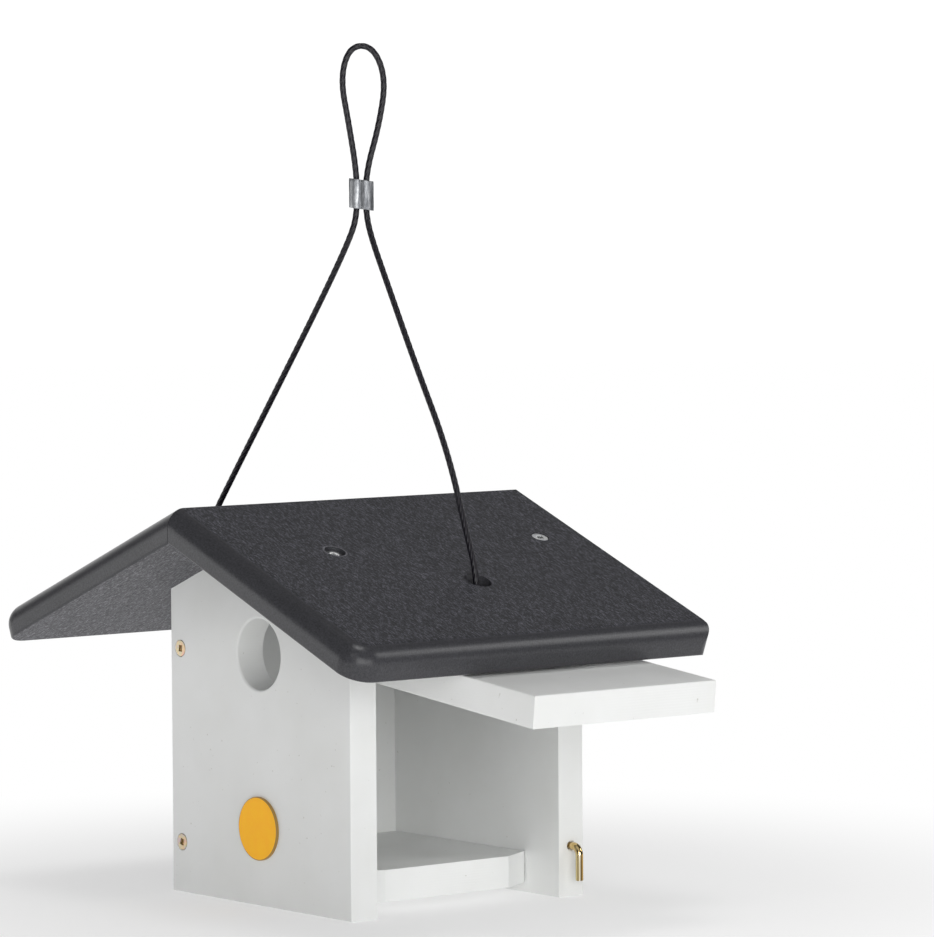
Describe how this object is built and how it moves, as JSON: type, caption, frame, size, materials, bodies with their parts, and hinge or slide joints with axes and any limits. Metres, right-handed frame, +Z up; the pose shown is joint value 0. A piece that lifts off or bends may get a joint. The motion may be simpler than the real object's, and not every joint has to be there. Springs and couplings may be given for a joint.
{
  "type": "birdhouse",
  "caption": "Gabled hanging birdhouse of plastic boards: round entrance hole, wide dark roof, side wall that swings up as a door, turning hook latch, wire cable with a loop.",
  "frame": {"origin": "centre of the body's footprint, in the plane of the panels' feet", "axes": "+Z up, the face with the entrance hole looks along -Y, the door is on +X"},
  "size_m": [0.2765, 0.1767, 0.343],
  "materials": {
    "pale_board": "matte",
    "dark_board": "matte, fine grain",
    "yellow_zinc": "yellow zinc plated",
    "bright_zinc": "bright zinc plated",
    "brass": "polished",
    "label": "satin",
    "cable_coat": "satin",
    "aluminium": "drawn"
  },
  "bodies": {
    "house": {"front_panel": "pale_board", "back_panel": "pale_board", "left_wall": "pale_board", "floor_panel": "pale_board", "roof_left": "dark_board", "roof_right": "dark_board", "wall_screws": "yellow_zinc", "floor_screws": "yellow_zinc", "roof_screws": "bright_zinc", "label_disc": "label", "hanging_cable": "cable_coat", "cable_sleeve": "aluminium", "cable_stop_left": "aluminium", "cable_stop_right": "aluminium", "cable_washer_left": "bright_zinc", "cable_washer_right": "bright_zinc"},
    "door": {"side_door": "pale_board", "pivot_screw_front": "yellow_zinc", "pivot_screw_back": "yellow_zinc"},
    "latch": {"latch_hook": "brass"}
  },
  "joints": [
    {"name": "door_swing", "type": "hinge", "parent": "house", "child": "door", "pos_m": [0.05535, 0, 0.1013], "axis": [0, -1, 0], "range_deg": [-83.9, 0]},
    {"name": "latch_turn", "type": "hinge", "parent": "house", "child": "latch", "pos_m": [0.0597, 0.05245, 0.0204], "axis": [-1, 0, 0], "range_deg": [-90, 90]}
  ]
}
